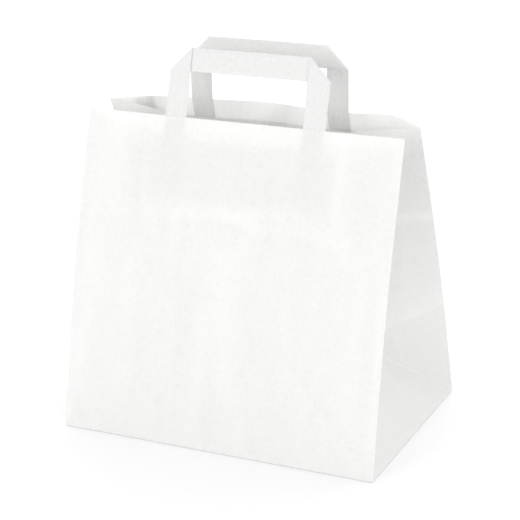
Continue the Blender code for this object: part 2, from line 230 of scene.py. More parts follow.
def gusset_point(side, across, up):
    """Places on the inner face of a gusset: side is 1 right or -1 left, across runs front to rear."""
    across, up = np.broadcast_arrays(np.asarray(across, float), np.asarray(up, float))
    out = np.where(across > 0, 1.0, -1.0)
    share = (np.abs(across) / HALF_GUSSET)[..., None]
    is_rear = (across > 0)[..., None]
    corner = np.where(is_rear, panel_point("rear", HALF_WIDTH, up), panel_point("front", HALF_WIDTH, up))
    climbed = ((up - HALF_GUSSET) / (HEIGHT - HALF_GUSSET))[..., None]
    centre = APEX + (CENTRE_TOP - APEX) * climbed
    upper = centre + (corner - centre) * share
    bow = np.where(is_rear, 1.0, FRONT_BOW_SHARE) * GUSSET_BOW[side] * climbed
    press = 0.5 * CREASE_RISE * ridge(up - GUSSET)[..., None]
    upper[..., 1:2] += out[..., None] * (bow + press) * np.sin(np.pi * share)
    low = np.clip(up / HALF_GUSSET, NEAR, 1)[..., None]
    foot = np.stack([0 * up + HALF_WIDTH, across, 0 * up + FLOOR], axis=-1)
    head = APEX + np.stack([0 * up, across, 0 * up], axis=-1)
    triangle = foot + (head - foot) * low
    base_corner = np.stack([0 * up + HALF_WIDTH, out * HALF_GUSSET, 0 * up + FLOOR], axis=-1)
    shoulder = np.where(is_rear, panel_point("rear", HALF_WIDTH, HALF_GUSSET),
                        panel_point("front", HALF_WIDTH, HALF_GUSSET))
    outer = low + share - 1
    wing = base_corner * (1 - low) + shoulder * outer + APEX * (1 - share)
    wing = wing + (corner - base_corner * (1 - low) - shoulder * low) * outer / low
    in_triangle = (up <= HALF_GUSSET - np.abs(across) + NEAR)[..., None]
    lower = np.where(in_triangle, triangle, wing)
    place = np.where((up >= HALF_GUSSET)[..., None], upper, lower)
    place[..., 0] *= side
    return place


print("apex and top of the centre fold in mm:", (APEX * 1000).round(1), (CENTRE_TOP * 1000).round(1))

# %% [markdown]
# ## The paper's own relief
#
# Thin paper never lies quite flat. It buckles softly along its grain, cockles finely all over, and
# keeps the print of the folds it was packed with. A random field makes the buckles: random heights
# on a coarse lattice, joined by smooth steps, and stretched along the grain. Near a fold the relief
# dies away, because a fold is stiff and straight, and so it does where the handles are glued. A few
# longer folds are placed one by one.

# %% Relief of the paper
BUCKLE = 0.00034
BUCKLE_CELL = (0.0125, 0.060)
COCKLE = 0.00010
COCKLE_CELL = (0.0075, 0.0110)
PRINT_RISE = {"front": 0.00030, "rear": 0.00030, "right": 0.00085, "left": 0.00085}
PRINT_REACH = 0.0048
PRINT_WANDER = 0.006
WANDER_CELL = (0.03, 1)
SLANT_SHARE = 0.5
GUSSET_SHARE = 0.6
FADE = 0.009
HANDLE_WIDTH = 0.1315
HANDLE_SHIFT = {"front": 0.0018, "rear": 0.0035}
PANEL_SEED = {"front": 11, "right": 23, "rear": 37, "left": 41}
SOFT_FOLDS = (
    ("front", -0.092, 0.222, 0.012, 0.045, 0.00, 0.0008),
    ("front", 0.013, 0.212, 0.013, 0.045, 0.10, -0.0008),
    ("front", 0.097, 0.206, 0.015, 0.045, 0.00, 0.0009),
    ("front", -0.036, 0.150, 0.006, 0.045, 0.00, -0.0004),
    ("front", -0.019, 0.112, 0.017, 0.065, 0.06, -0.0010),
    ("front", 0.015, 0.112, 0.014, 0.065, 0.02, 0.0007),
    ("front", 0.058, 0.128, 0.010, 0.035, 0.00, 0.0004),
    ("rear", 0.030, 0.226, 0.010, 0.030, 0.00, 0.0009),
    ("rear", -0.032, 0.226, 0.012, 0.030, 0.00, -0.0009),
    ("rear", -0.002, 0.230, 0.008, 0.026, 0.00, -0.0007),
    ("rear", 0.100, 0.225, 0.010, 0.030, 0.00, 0.0008))
LATTICE = 48


def smooth_step(share):
    """Rises smoothly from 0 to 1."""
    share = np.clip(share, 0, 1)
    return share * share * (3 - 2 * share)


def soft_noise(across, up, cell, seed):
    """A smooth random field between -1 and 1."""
    heights = np.random.default_rng(seed).uniform(-1, 1, (LATTICE, LATTICE))
    x = across / cell[0] + LATTICE / 2
    y = up / cell[1] + LATTICE / 4
    i = np.floor(x).astype(int)
    j = np.floor(y).astype(int)
    right = smooth_step(x - i)
    top = smooth_step(y - j)
    low = heights[i % LATTICE, j % LATTICE] * (1 - right) + heights[(i + 1) % LATTICE, j % LATTICE] * right
    high = heights[i % LATTICE, (j + 1) % LATTICE] * (1 - right)
    high = high + heights[(i + 1) % LATTICE, (j + 1) % LATTICE] * right
    return low * (1 - top) + high * top


def clear_of_folds(panel, across, up):
    """0 on a fold, 1 away from it."""
    if panel in OUT:
        free = smooth_step((HALF_WIDTH - np.abs(across)) / FADE) * smooth_step(up / FADE)
        from_legs = np.abs(across - HANDLE_SHIFT[panel]) - HANDLE_WIDTH / 2 - PATCH_MARGIN
        below_legs = HEIGHT - LEG_INSIDE - PATCH_MARGIN - up
        return free * smooth_step(np.maximum(from_legs, below_legs) / FADE)
    across = np.abs(across)
    free = smooth_step(np.minimum(across, HALF_GUSSET - across) / FADE) * smooth_step(up / FADE)
    on_slant = np.abs(across + up - HALF_GUSSET) * math.sqrt(0.5)
    return free * smooth_step(np.abs(up - HALF_GUSSET) / FADE) * smooth_step(on_slant / FADE)


def fold_print(distance):
    """The soft print of a fold, 1 on its line and 0 away from it."""
    return np.exp(-(distance / PRINT_REACH) ** 2)


def soft_folds(panel, across, up):
    """Long soft folds: panel, middle across and up, reach across and up, lean, and rise."""
    height = 0 * (across + up)
    for where, middle, level, wide, tall, lean, rise in SOFT_FOLDS:
        if where == panel:
            aside = (across - middle - lean * (up - level)) / wide
            height = height + rise * np.exp(-aside ** 2 - ((up - level) / tall) ** 4)
    return height


def relief(panel, across, up):
    """How far the paper stands out of its smooth form."""
    seed = PANEL_SEED[panel]
    size = 1.0 if panel in OUT else GUSSET_SHARE
    height = BUCKLE * soft_noise(across, up, BUCKLE_CELL, seed)
    height = height + COCKLE * soft_noise(across, up, COCKLE_CELL, seed + 1)
    wander = PRINT_WANDER * soft_noise(across, 0 * up, WANDER_CELL, seed + 2)
    height = height - PRINT_RISE[panel] * fold_print(up - GUSSET - wander)
    if panel in OUT:
        slant = (HALF_WIDTH - np.abs(across) - up) * math.sqrt(0.5)
        slant_print = fold_print(slant) * smooth_step((HALF_GUSSET - up) / FADE)
        height = height + SLANT_SHARE * PRINT_RISE[panel] * slant_print
    height = height + soft_folds(panel, across, up)
    return size * height * clear_of_folds(panel, across, up)


tried = np.meshgrid(np.linspace(-HALF_WIDTH, HALF_WIDTH, 81), np.linspace(0, HEIGHT, 81))
print("most relief on the front in mm:", round(np.abs(relief("front", *tried)).max() * 1000, 2))

# %% [markdown]
# ## Painted shading of the slopes and facets
#
# Light that rakes over paper makes one slope of a buckle paler and the other darker, and each facet
# of a gusset is lit a step paler or darker than the next. The soft lamps of this scene show little of
# that. So both are painted: the slopes and the facets are kept as painted shade and painted light,
# which the finish multiplies into its colour. It is a tint: it stays as it is when the light moves.
# A tighter lamp would be truer, but it throws hard shadows.

# %% Painted shading of the slopes and facets
# How strongly the slopes are painted paler or darker, across and up.
RAKE = (0.32, 0.16)
# Painted shade and light on the gussets: darker above the level crease, paler on its print, darker on the
# wings and paler in the triangle.
UPPER_PAINTED_SHADE = -0.075
UPPER_REACH = 0.020
PRINT_PAINTED_LIGHT = 0.060
WING_PAINTED_SHADE = -0.050
TRIANGLE_PAINTED_LIGHT = 0.025
SLOPE_REACH = 0.001


def facet_painted_shading(across, up):
    """Painted shade and light on each facet of a gusset, which its creases part from the next."""
    above = np.clip(up - HALF_GUSSET, 0, None)
    upper = UPPER_PAINTED_SHADE * (1 - np.exp(-above / UPPER_REACH)) + PRINT_PAINTED_LIGHT * fold_print(up - GUSSET)
    in_triangle = up <= HALF_GUSSET - np.abs(across) + NEAR
    lower = np.where(in_triangle, TRIANGLE_PAINTED_LIGHT, WING_PAINTED_SHADE)
    return np.where(up >= HALF_GUSSET - NEAR, upper, lower)


def painted_shading(panel, across, up):
    """Painted shade and light where the relief slopes, plus the gussets' painted facets."""
    aside = relief(panel, across + SLOPE_REACH, up) - relief(panel, across - SLOPE_REACH, up)
    rise = relief(panel, across, up + SLOPE_REACH) - relief(panel, across, up - SLOPE_REACH)
    shade = (RAKE[0] * aside + RAKE[1] * rise) / (2 * SLOPE_REACH)
    return shade if panel in OUT else shade + facet_painted_shading(across, up)


painted_shades = painted_shading("front", *tried)
print("tones on the front run from", painted_shades.min().round(3), "to", painted_shades.max().round(3))

# %% [markdown]
# ## The sheet's inner face
#
# The relief is laid on the smooth form, square to it. The direction comes from two short steps on the
# form, one across and one up, and their cross product.

# %% Inner face of the sheet
SQUARE_REACH = 0.0005


def smooth_point(panel, across, up):
    """Places on the sheet's smooth form."""
    if panel in OUT:
        return panel_point(panel, across, up)
    return gusset_point(1 if panel == "right" else -1, across, up)


def outward(panel, across, up):
    """Directions out of the bag, square to the sheet."""
    reach = SQUARE_REACH
    side = smooth_point(panel, across + reach, up) - smooth_point(panel, across - reach, up)
    rise = smooth_point(panel, across, up + reach) - smooth_point(panel, across, up - reach)
    square = np.cross(side, rise) * (1 if panel in ("front", "right") else -1)
    return square / np.linalg.norm(square, axis=-1, keepdims=True)


def sheet_point(panel, across, up):
    """Places on the inner face of the sheet, relief and all."""
    across, up = np.broadcast_arrays(np.asarray(across, float), np.asarray(up, float))
    lift = relief(panel, across, up)[..., None]
    return smooth_point(panel, across, up) + outward(panel, across, up) * lift


print("right gusset, inner face at 100 mm:", (sheet_point("right", 0.03, 0.1) * 1000).round(1))

# %% [markdown]
# ## The folded sheet
#
# The sheet is a grid that runs once round the bag, with cells as wide as one tooth of the pinked
# mouth. A fold in paper is never a perfect edge: the paper turns it in a tight arc. So the grid
# stops short of each fold on both sides, and three columns on a curve that is pulled towards the
# fold line turn the corner. The foot turns into the floor in the same way. The 45 degree creases of
# the gussets run corner to corner through square cells, and are marked sharp.

# %% Columns and rows of the sheet
CORNER_TURN = 0.0007
CENTRE_TURN = 0.0012
TURN_SHARES = (0.25, 0.5, 0.75)


def even(start, end, cell):
    """Evenly spaced values about a cell apart."""
    return np.linspace(start, end, round(abs(end - start) / cell) + 1)


def half_gusset_columns():
    """Places across half a gusset, from beside its centre fold to beside its corner fold."""
    inner = even(0, HALF_GUSSET, TOOTH_PITCH)[1:-1]
    return np.concatenate([[CENTRE_TURN], inner, [HALF_GUSSET - CORNER_TURN]])


def sheet_rows():
    """Heights up the sheet, from just above the foot to the foot of the teeth."""
    lower = half_gusset_columns()
    upper = even(HALF_GUSSET, HEIGHT - TOOTH_DEPTH, TOOTH_PITCH)
    return np.concatenate([HALF_GUSSET - lower[::-1], upper])


def sheet_blocks():
    """The flat blocks round the bag and the fold line after each, as (panel, columns, panel, across)."""
    end = HALF_WIDTH - CORNER_TURN
    panel = even(-end, end, TOOTH_PITCH)
    half = half_gusset_columns()
    return [("front", panel, "front", HALF_WIDTH), ("right", -half[::-1], "right", 0.0),
            ("right", half, "rear", HALF_WIDTH), ("rear", panel[::-1], "rear", -HALF_WIDTH),
            ("left", half[::-1], "left", 0.0), ("left", -half, "front", -HALF_WIDTH)]


def turn(before, fold, after):
    """Three rows or columns of points that turn a fold from one flat to the next."""
    return [(1 - t) ** 2 * before + 2 * t * (1 - t) * fold + t * t * after for t in TURN_SHARES]


def sheet_grid(rows):
    """The sheet's points as rows by columns, with each column's panel and place across."""
    flats = sheet_blocks()
    blocks = [sheet_point(panel, places[None, :], rows[:, None]) for panel, places, _, _ in flats]
    columns = []
    names = []
    for i, (panel, places, fold_panel, fold_across) in enumerate(flats):
        after = blocks[(i + 1) % len(blocks)]
        fold = smooth_point(fold_panel, fold_across, rows)
        columns += [blocks[i], np.stack(turn(blocks[i][:, -1], fold, after[:, 0]), axis=1)]
        names += [(panel, across) for across in places] + [("fold", 0.0)] * len(TURN_SHARES)
    return np.concatenate(columns, axis=1), names


def sheet_painted_shading(rows, columns):
    """The painted shading at each point of the grid, with the turned folds left plain."""
    painted_shades = np.zeros((len(rows), len(columns)))
    for i, (panel, across) in enumerate(columns):
        if panel != "fold":
            painted_shades[:, i] = painted_shading(panel, across + 0 * rows, rows)
    return painted_shades


ROWS = sheet_rows()
GRID, COLUMNS = sheet_grid(ROWS)
PAINTED_SHADING_GRID = sheet_painted_shading(ROWS, COLUMNS)
print("sheet of", GRID.shape[0], "rows and", GRID.shape[1], "columns")

# %% [markdown]
# ## The sheet as a mesh
#
# Blender takes a mesh as a list of points and a list of faces. The foot ring and the floor are added
# below the grid, and the cells that a 45 degree crease crosses are cut along it.

# %% Mesh of the sheet
ON_LINE = 1e-7
BELOW_THE_WALLS = -1.0
SHORTEST_CELL = 0.6 * TOOTH_PITCH


def store(mesh, name, kind, domain, values):
    """Store values on a mesh as a named attribute."""
    data = mesh.attributes.new(name, kind, domain).data
    data.foreach_set("vector" if kind == "FLOAT_VECTOR" else "value", np.ravel(values))


def with_foot(grid):
    """The grid with the turn into the floor and the edge of the floor added below it."""
    foot = sheet_grid(np.array([ON_LINE]))[0][0]
    foot[:, 2] = FLOOR
    floor = foot * (1 - CORNER_TURN / HALF_WIDTH, 1 - CORNER_TURN / HALF_GUSSET, 1)
    return np.concatenate([[floor], turn(floor, foot, grid[0]), grid])


def on_crease(column, up):
    """True on a gusset's 45 degree crease."""
    panel, across = column
    return panel in ("left", "right") and abs(abs(across) + up - HALF_GUSSET) < ON_LINE


def sheet_faces(first_row, count):
    """Cells of the sheet, cut in two along the 45 degree creases."""
    faces = []
    heights = [BELOW_THE_WALLS] * first_row + list(ROWS)
    for row, (low, high) in enumerate(zip(heights, heights[1:])):
        for i in range(count):
            j = (i + 1) % count
            a, b = row * count + i, row * count + j
            c, d = b + count, a + count
            if on_crease(COLUMNS[j], low) and on_crease(COLUMNS[i], high):
                faces += [(a, b, d), (b, c, d)]
            elif on_crease(COLUMNS[i], low) and on_crease(COLUMNS[j], high):
                faces += [(a, b, c), (a, c, d)]
            else:
                faces.append((a, b, c, d))
    return faces


def build_sheet():
    """The folded sheet as an open surface, with its mouth's cells marked for the teeth."""
    points = with_foot(GRID)
    rings, count, _ = points.shape
    first_row = rings - len(ROWS)
    faces = sheet_faces(first_row, count)
    middle = rings * count
    faces += [(i, middle, (i + 1) % count) for i in range(count)]
    mesh = bpy.data.meshes.new("bag_sheet")
    mesh.from_pydata(points.reshape(-1, 3).tolist() + [(0, 0, FLOOR)], [], faces)
    # The painted shade and light of the slopes and facets, stored for the finish.
    painted_shades = np.zeros(len(mesh.vertices))
    painted_shades[first_row * count:rings * count] = PAINTED_SHADING_GRID.ravel()
    store(mesh, "painted_shading", "FLOAT", "POINT", painted_shades)
    mark_creases(mesh, first_row, count)
    mark_mouth(mesh, (rings - 1) * count, count)
    mesh.shade_smooth()
    return mesh


def edge_ends(mesh):
    """The two point numbers of every edge."""
    ends = np.zeros(len(mesh.edges) * 2, np.int32)
    mesh.edges.foreach_get("vertices", ends)
    return ends.reshape(-1, 2)


def mark_creases(mesh, first_row, count):
    """Mark the straight creases of the gussets sharp."""
    slant = set()
    level = set()
    for row, up in enumerate(ROWS):
        for i, column in enumerate(COLUMNS):
            if on_crease(column, up):
                slant.add((row + first_row) * count + i)
            if column[0] in ("left", "right") and abs(up - HALF_GUSSET) < ON_LINE:
                level.add((row + first_row) * count + i)
    sharp = [(a in slant and b in slant) or (a in level and b in level) for a, b in edge_ends(mesh)]
    store(mesh, "sharp_edge", "BOOLEAN", "EDGE", sharp)


def mark_mouth(mesh, first, count):
    """Store, on each cell of the mouth's edge, which way the edge runs and which way the paper rises."""
    ends = edge_ends(mesh)
    places = np.array([v.co for v in mesh.vertices])
    on_mouth = ((ends >= first) & (ends < first + count)).all(axis=1)
    low, high = ends.min(axis=1), ends.max(axis=1)
    wraps = (high - low) == count - 1
    start, end = np.where(wraps, high, low), np.where(wraps, low, high)
    along = places[end] - places[start]
    length = np.linalg.norm(along, axis=1)
    rise = places[start] - places[np.clip(start - count, 0, None)]
    chosen = on_mouth & (length > SHORTEST_CELL)
    store(mesh, "pinked", "BOOLEAN", "EDGE", chosen)
    store(mesh, "cell_length", "FLOAT", "EDGE", length)
    store(mesh, "along", "FLOAT_VECTOR", "EDGE", along)
    store(mesh, "rise", "FLOAT_VECTOR", "EDGE", rise)
    print("teeth round the mouth:", int(chosen.sum()))


SHEET_MESH = build_sheet()
print("sheet before its teeth:", len(SHEET_MESH.vertices), "points,", len(SHEET_MESH.polygons), "faces")

# %% [markdown]
# ## White kraft paper
#
# White kraft paper is a mat of bleached wood fibres. Close by it shows cloudy formation, short fibres
# that mostly lie along the machine's direction, and a faint cockle, and it is matt with a slight
# gloss. It is thin enough to let a little light through, so a Translucent shader is mixed with the
# Principled one. Its noise reads object coordinates, so it stays on the paper in every view. The tape
# of the handles is several plies, so it lets no light through. Its colour is painted much greyer than
# the bag's paper, as painted shade on the handles' legs and bar. Its noise reads an attribute that
# runs along the tape, so the fibres turn the corners with it.

# %% Node helpers and the paper finishes
CLOUD_SCALE = 420
FIBRE_SCALE = 1000
FIBRE_SHARE = 0.8


def add_node(tree, kind, **inputs):
    """Add a node whose inputs, given by name, are fed from a socket or set to a value."""
    node = tree.nodes.new(kind)
    for name, value in inputs.items():
        place = node.inputs[name.replace("_", " ")]
        if isinstance(value, bpy.types.NodeSocket):
            tree.links.new(value, place)
        else:
            place.default_value = value
    return node


def fibre_noise(tree, place, stretch, scale):
    """Noise on a stretched copy of the coordinates, for fibres that lie along one direction."""
    mapping = add_node(tree, "ShaderNodeMapping", Vector=place, Scale=stretch)
    noise = add_node(tree, "ShaderNodeTexNoise", Vector=mapping.outputs["Vector"], Scale=scale,
                     Detail=2, Roughness=0.6)
    return noise.outputs["Fac"]


def worked_out(tree, operation, *values):
    """The result of a maths node that is fed with sockets and plain numbers."""
    node = tree.nodes.new("ShaderNodeMath")
    node.operation = operation
    for place, value in zip(node.inputs, values):
        if isinstance(value, float):
            place.default_value = value
        else:
            tree.links.new(value, place)
    return node.outputs["Value"]


def stored(tree, name):
    """The outputs that read a stored attribute."""
    node = tree.nodes.new("ShaderNodeAttribute")
    node.attribute_name = name
    return node.outputs


def mix_shaders(tree, share, first, second, end):
    """Mix the second shader into the first by a share, and feed the tree's end with the mix."""
    mix = add_node(tree, "ShaderNodeMixShader", Fac=share)
    tree.links.new(first.outputs[0], mix.inputs[1])
    tree.links.new(second.outputs[0], mix.inputs[2])
    tree.links.new(mix.outputs["Shader"], tree.nodes[end].inputs["Surface"])


def paper_colour(tree, cloud, fibre, pale, deep):
    """Colour that drifts with the clouds of the formation, flecks with the fibres and takes the painted
    shading.
    """
    both = worked_out(tree, "MULTIPLY_ADD", fibre, FIBRE_SHARE, cloud)
    ramp = add_node(tree, "ShaderNodeValToRGB", Fac=both)
    ramp.color_ramp.elements[0].position = 0.6
    ramp.color_ramp.elements[0].color = (*deep, 1)
    ramp.color_ramp.elements[1].position = 1.0
    ramp.color_ramp.elements[1].color = (*pale, 1)
    toned = tree.nodes.new("ShaderNodeVectorMath")
    toned.operation = "SCALE"
    tree.links.new(ramp.outputs["Color"], toned.inputs["Vector"])
    # The stored painted shading scales the colour.
    tree.links.new(worked_out(tree, "ADD", stored(tree, "painted_shading")["Fac"], 1.0), toned.inputs["Scale"])
    return toned.outputs["Vector"]


def paper_bump(tree, cloud, fibre):
    """Normals for the fine cockle and the raised fibres."""
    coarse = add_node(tree, "ShaderNodeBump", Height=cloud, Strength=0.35, Distance=0.0003)
    fine = add_node(tree, "ShaderNodeBump", Height=fibre, Normal=coarse.outputs["Normal"],
                    Strength=0.25, Distance=0.00006)
    return fine.outputs["Normal"]


def kraft_paper(name, pale, deep, roughness, see_through, grain=None):
    """White kraft paper. grain names the attribute that runs along the fibres, if there is one."""
    material = bpy.data.materials.new(name)
    material.use_nodes = True
    tree = material.node_tree
    shader = tree.nodes["Principled BSDF"]
    if grain:
        place = stored(tree, grain)["Vector"]
    else:
        place = tree.nodes.new("ShaderNodeTexCoord").outputs["Object"]
    cloud = fibre_noise(tree, place, (1, 1, 0.6), CLOUD_SCALE)
    fibre = fibre_noise(tree, place, (1, 1, 0.3), FIBRE_SCALE)
    tree.links.new(paper_colour(tree, cloud, fibre, pale, deep), shader.inputs["Base Color"])
    tree.links.new(paper_bump(tree, cloud, fibre), shader.inputs["Normal"])
    shader.inputs["Roughness"].default_value = roughness
    shader.inputs["Specular IOR Level"].default_value = 0.25
    if see_through:
        glow = add_node(tree, "ShaderNodeBsdfTranslucent", Color=(*pale, 1))
        mix_shaders(tree, see_through, shader, glow, "Material Output")
    return material


BAG_PAPER = kraft_paper("white_kraft", (0.975, 0.975, 0.97), (0.895, 0.895, 0.89), 0.62, 0.43)
# The tape's grey is painted shade: white paper darkened to stand in for the shade on the handles.
TAPE_PAPER_PAINTED_SHADE = kraft_paper("white_tape_painted_shade", (0.73, 0.73, 0.725), (0.685, 0.685, 0.68), 0.6, 0, "grain")
PATCH_PAPER = kraft_paper("white_patch", (0.965, 0.965, 0.96), (0.885, 0.885, 0.88), 0.65, 0.15)
print("papers:", [paper.name for paper in (BAG_PAPER, TAPE_PAPER_PAINTED_SHADE, PATCH_PAPER)])

# %% [markdown]
# ## The pinked mouth and the paper's thickness
#
# The tube of paper is cut off with a saw-toothed knife, which leaves a row of small triangular teeth.
# They could be drawn one by one, but they repeat along a path, so Geometry Nodes make them: each
# marked cell of the mouth's edge becomes a point, a unit triangle is turned and stretched to fit that
# cell, and the teeth are welded to the sheet. A Solidify modifier then gives the sheet its one ply.

# %% Teeth of the mouth
def named(group, name, kind):
    """Read a stored attribute."""
    node = add_node(group, "GeometryNodeInputNamedAttribute", Name=name)
    node.data_type = kind
    return node.outputs["Attribute"]


def unit_tooth(group):
    """A triangle one wide and one high, standing on the X axis."""
    circle = add_node(group, "GeometryNodeMeshCircle", Vertices=3, Radius=1 / math.sqrt(3))
    circle.fill_type = "NGON"
    upright = add_node(group, "GeometryNodeTransform", Geometry=circle.outputs["Mesh"],
                       Rotation=(0, 0, math.pi / 2))
    tooth = add_node(group, "GeometryNodeTransform", Geometry=upright.outputs["Geometry"],
                     Translation=(0, 1 / 3, 0), Scale=(1, 2 / math.sqrt(3), 1))
    return tooth.outputs["Geometry"]


def teeth_on_edge(group, sheet, depth):
    """A tooth on every marked cell of the sheet's mouth, turned and stretched to fit it."""
    points = add_node(group, "GeometryNodeMeshToPoints", Mesh=sheet,
                      Selection=named(group, "pinked", "BOOLEAN"))
    points.mode = "EDGES"
    turned = add_node(group, "FunctionNodeAxesToRotation",
                      Primary_Axis=named(group, "along", "FLOAT_VECTOR"),
                      Secondary_Axis=named(group, "rise", "FLOAT_VECTOR"))
    turned.primary_axis = "X"
    turned.secondary_axis = "Y"
    size = add_node(group, "ShaderNodeCombineXYZ", X=named(group, "cell_length", "FLOAT"), Y=depth, Z=1)
    teeth = add_node(group, "GeometryNodeInstanceOnPoints", Points=points.outputs["Points"],
                     Instance=unit_tooth(group), Rotation=turned.outputs["Rotation"],
                     Scale=size.outputs["Vector"])
    real = add_node(group, "GeometryNodeRealizeInstances", Geometry=teeth.outputs["Instances"])
    return real.outputs["Geometry"]


def pinking_group():
    """The node group that pinks the edge of a sheet."""
    group = bpy.data.node_groups.new("pinked_edge", "GeometryNodeTree")
    for name, kind in (("Sheet", "Geometry"), ("Tooth depth", "Float"), ("Paper", "Material")):
        group.interface.new_socket(name=name, in_out="INPUT", socket_type="NodeSocket" + kind)
    group.interface.new_socket(name="Sheet", in_out="OUTPUT", socket_type="NodeSocketGeometry")
    given = group.nodes.new("NodeGroupInput").outputs
    teeth = teeth_on_edge(group, given["Sheet"], given["Tooth depth"])
    joined = add_node(group, "GeometryNodeJoinGeometry", Geometry=teeth)
    group.links.new(given["Sheet"], joined.inputs["Geometry"])
    weld = add_node(group, "GeometryNodeMergeByDistance", Geometry=joined.outputs["Geometry"],
                    Distance=PAPER / 10)
    paper = add_node(group, "GeometryNodeSetMaterial", Geometry=weld.outputs["Geometry"],
                     Material=given["Paper"])
    add_node(group, "NodeGroupOutput", Sheet=paper.outputs["Geometry"])
    return group


def set_input(modifier, name, value):
    """Set a node group's input by its socket's identifier."""
    for item in modifier.node_group.interface.items_tree:
        if item.item_type == "SOCKET" and item.in_out == "INPUT" and item.name == name:
            modifier[item.identifier] = value


def finished(item, name):
    """A plain mesh object of what the modifiers made. The first object is removed."""
    depsgraph = bpy.context.evaluated_depsgraph_get()
    mesh = bpy.data.meshes.new_from_object(item.evaluated_get(depsgraph))
    mesh.name = name
    bpy.data.objects.remove(item, do_unlink=True)
    print(name, "has", sum(len(p.vertices) - 2 for p in mesh.polygons), "triangles")
    return in_scene(name, mesh)


def build_body():
    """The sheet with its teeth and its thickness, which grows outwards from the drawn face."""
    raw = in_scene("sheet_raw", SHEET_MESH)
    pinking = raw.modifiers.new("pinked_edge", "NODES")
    pinking.node_group = pinking_group()
    set_input(pinking, "Tooth depth", TOOTH_DEPTH)
    set_input(pinking, "Paper", BAG_PAPER)
    solidify = raw.modifiers.new("paper", "SOLIDIFY")
    solidify.thickness = PAPER
    solidify.offset = 1
    return finished(raw, "bag_sheet")


BAG = build_body()
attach(BAG, "root")
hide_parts("bag_body")

# %% [markdown]
# ## Pieces that share a helper
#
# The rest is made of thin closed strips and plates. One helper turns a block of points, given as
# rows by columns, into a mesh object, welds the points that meet and turns the faces outwards.

# %% Mesh of a block of points
WELD = 1e-6


def block_mesh(name, points, faces, material):
    """An object from a block of points and its faces."""
    mesh = bpy.data.meshes.new(name)
    mesh.from_pydata(np.asarray(points).reshape(-1, 3).tolist(), [], faces)
    mesh.materials.append(material)
    return in_scene(name, mesh)


def weld_and_turn(item):
    """Merge the doubles of an object's mesh and point its faces outwards."""
    shape = bmesh.new()
    shape.from_mesh(item.data)
    bmesh.ops.remove_doubles(shape, verts=shape.verts, dist=WELD)
    bmesh.ops.dissolve_degenerate(shape, edges=shape.edges, dist=WELD)
    bmesh.ops.recalc_face_normals(shape, faces=shape.faces)
    shape.to_mesh(item.data)
    shape.free()


def weld_and_smooth(item, sharp):
    """Weld and turn a piece and shade it smooth, except over edges sharper than an angle."""
    weld_and_turn(item)
    item.data.shade_smooth()
    item.data.set_sharp_from_angle(angle=sharp)


def tube_faces(rows, columns):
    """Cells of a grid whose columns close on themselves."""
    faces = []
    for row in range(rows - 1):
        for i in range(columns):
            j = (i + 1) % columns
            low, high = row * columns, (row + 1) * columns
            faces.append((low + i, low + j, high + j, high + i))
    return faces


def plate_faces(rows, columns):
    """Faces of a thin plate: each row runs out on one side of it and back on the other."""
    faces = tube_faces(rows, columns)
    for first in (0, (rows - 1) * columns):
        faces += [(first + i, first + i + 1, first + columns - 2 - i, first + columns - 1 - i)
                  for i in range(columns // 2 - 1)]
    return faces


# %% [markdown]
# ## The handles
#
# Each handle is one length of paper tape, folded from several plies and glued flat. It comes up one
# side, folds over at 45 degrees, runs across and folds down again. Its section is drawn once: thin,
# with rounded folded edges, and with a small step where the last ply stops short. That section is
# then carried along the route. At a corner every point of it turns half a circle about the crease,
# which keeps the tape's width and thickness true.

# %% Route of a handle
TAPE_WIDTH = 0.0177
TAPE = 0.0005
TAPE_PLY = 0.00012
TAPE_SEAM = 0.0046
FOLD_GAP = 0.0002
SEAT_GAP = 0.0003
CORNER_RISE = {"front": 0.0340, "rear": 0.0328}
HANDLE_LEAN = {"front": math.radians(20.3), "rear": math.radians(3.6)}
HANDLE_SLANT = {"front": 0.0, "rear": 0.047}
HANDLE_BOW = {"front": 0.0050, "rear": 0.0010}
LEG_STEPS = 12
FOLD_STEPS = 10
BAR_STEPS = 24
FLAT_STEPS = 7
EDGE_STEPS = 5
SEAM_BEVEL = 0.00005
SHARP_TAPE = math.radians(35)
OUTER = HANDLE_WIDTH / 2
BAR_END = OUTER - TAPE_WIDTH
BAR_BACK = SEAT_GAP + 2 * TAPE + FOLD_GAP


def handle_point(panel, across, up, depth):
    """Places on a handle: up counts from the mouth, depth from the panel's inner face."""
    across, up, depth = np.broadcast_arrays(*[np.asarray(a, float) for a in (across, up, depth)])
    at = across + HANDLE_SHIFT[panel] + HANDLE_SLANT[panel] * np.maximum(up, 0)
    in_bag = np.minimum(up, 0)
    risen = np.clip(up / CORNER_RISE[panel], 0, 1)
    square = -outward(panel, at, HEIGHT + in_bag)
    foot = panel_point(panel, at, HEIGHT + in_bag, 1 - risen)
    lean = HANDLE_LEAN[panel]
    rise = np.array([0, -OUT[panel] * math.sin(lean), math.cos(lean)])
    off_plane = np.array([0, -OUT[panel] * math.cos(lean), -math.sin(lean)])
    above = np.maximum(up, 0)[..., None]
    share = np.clip(above / TAPE_WIDTH, 0, 1)
    turned = square + (off_plane - square) * share
    turned /= np.linalg.norm(turned, axis=-1, keepdims=True)
    bow = HANDLE_BOW[panel] * risen ** 2 * (1 - (2 * across / HANDLE_WIDTH) ** 2)
    return foot + rise * above + turned * (depth - bow)[..., None]


def tape_section():
    """The tape's section as (across the tape, depth), once round, with the ply that stops short."""
    thin = TAPE - TAPE_PLY
    half = TAPE / 2
    far = TAPE_WIDTH - half
    section = [(w, 0.0) for w in np.linspace(half, far, FLAT_STEPS)]
    for angle in np.linspace(-math.pi / 2, math.pi / 2, EDGE_STEPS)[1:-1]:
        section.append((far + half * math.cos(angle), half + half * math.sin(angle)))
    section += [(w, TAPE) for w in np.linspace(far, TAPE_SEAM + SEAM_BEVEL, FLAT_STEPS)]
    section += [(TAPE_SEAM, TAPE - SEAM_BEVEL), (TAPE_SEAM, thin), (half, thin)]
    for angle in np.linspace(math.pi / 2, 3 * math.pi / 2, EDGE_STEPS)[1:-1]:
        section.append((half + half * math.cos(angle), thin / 2 + thin / 2 * math.sin(angle)))
    return np.array(section)


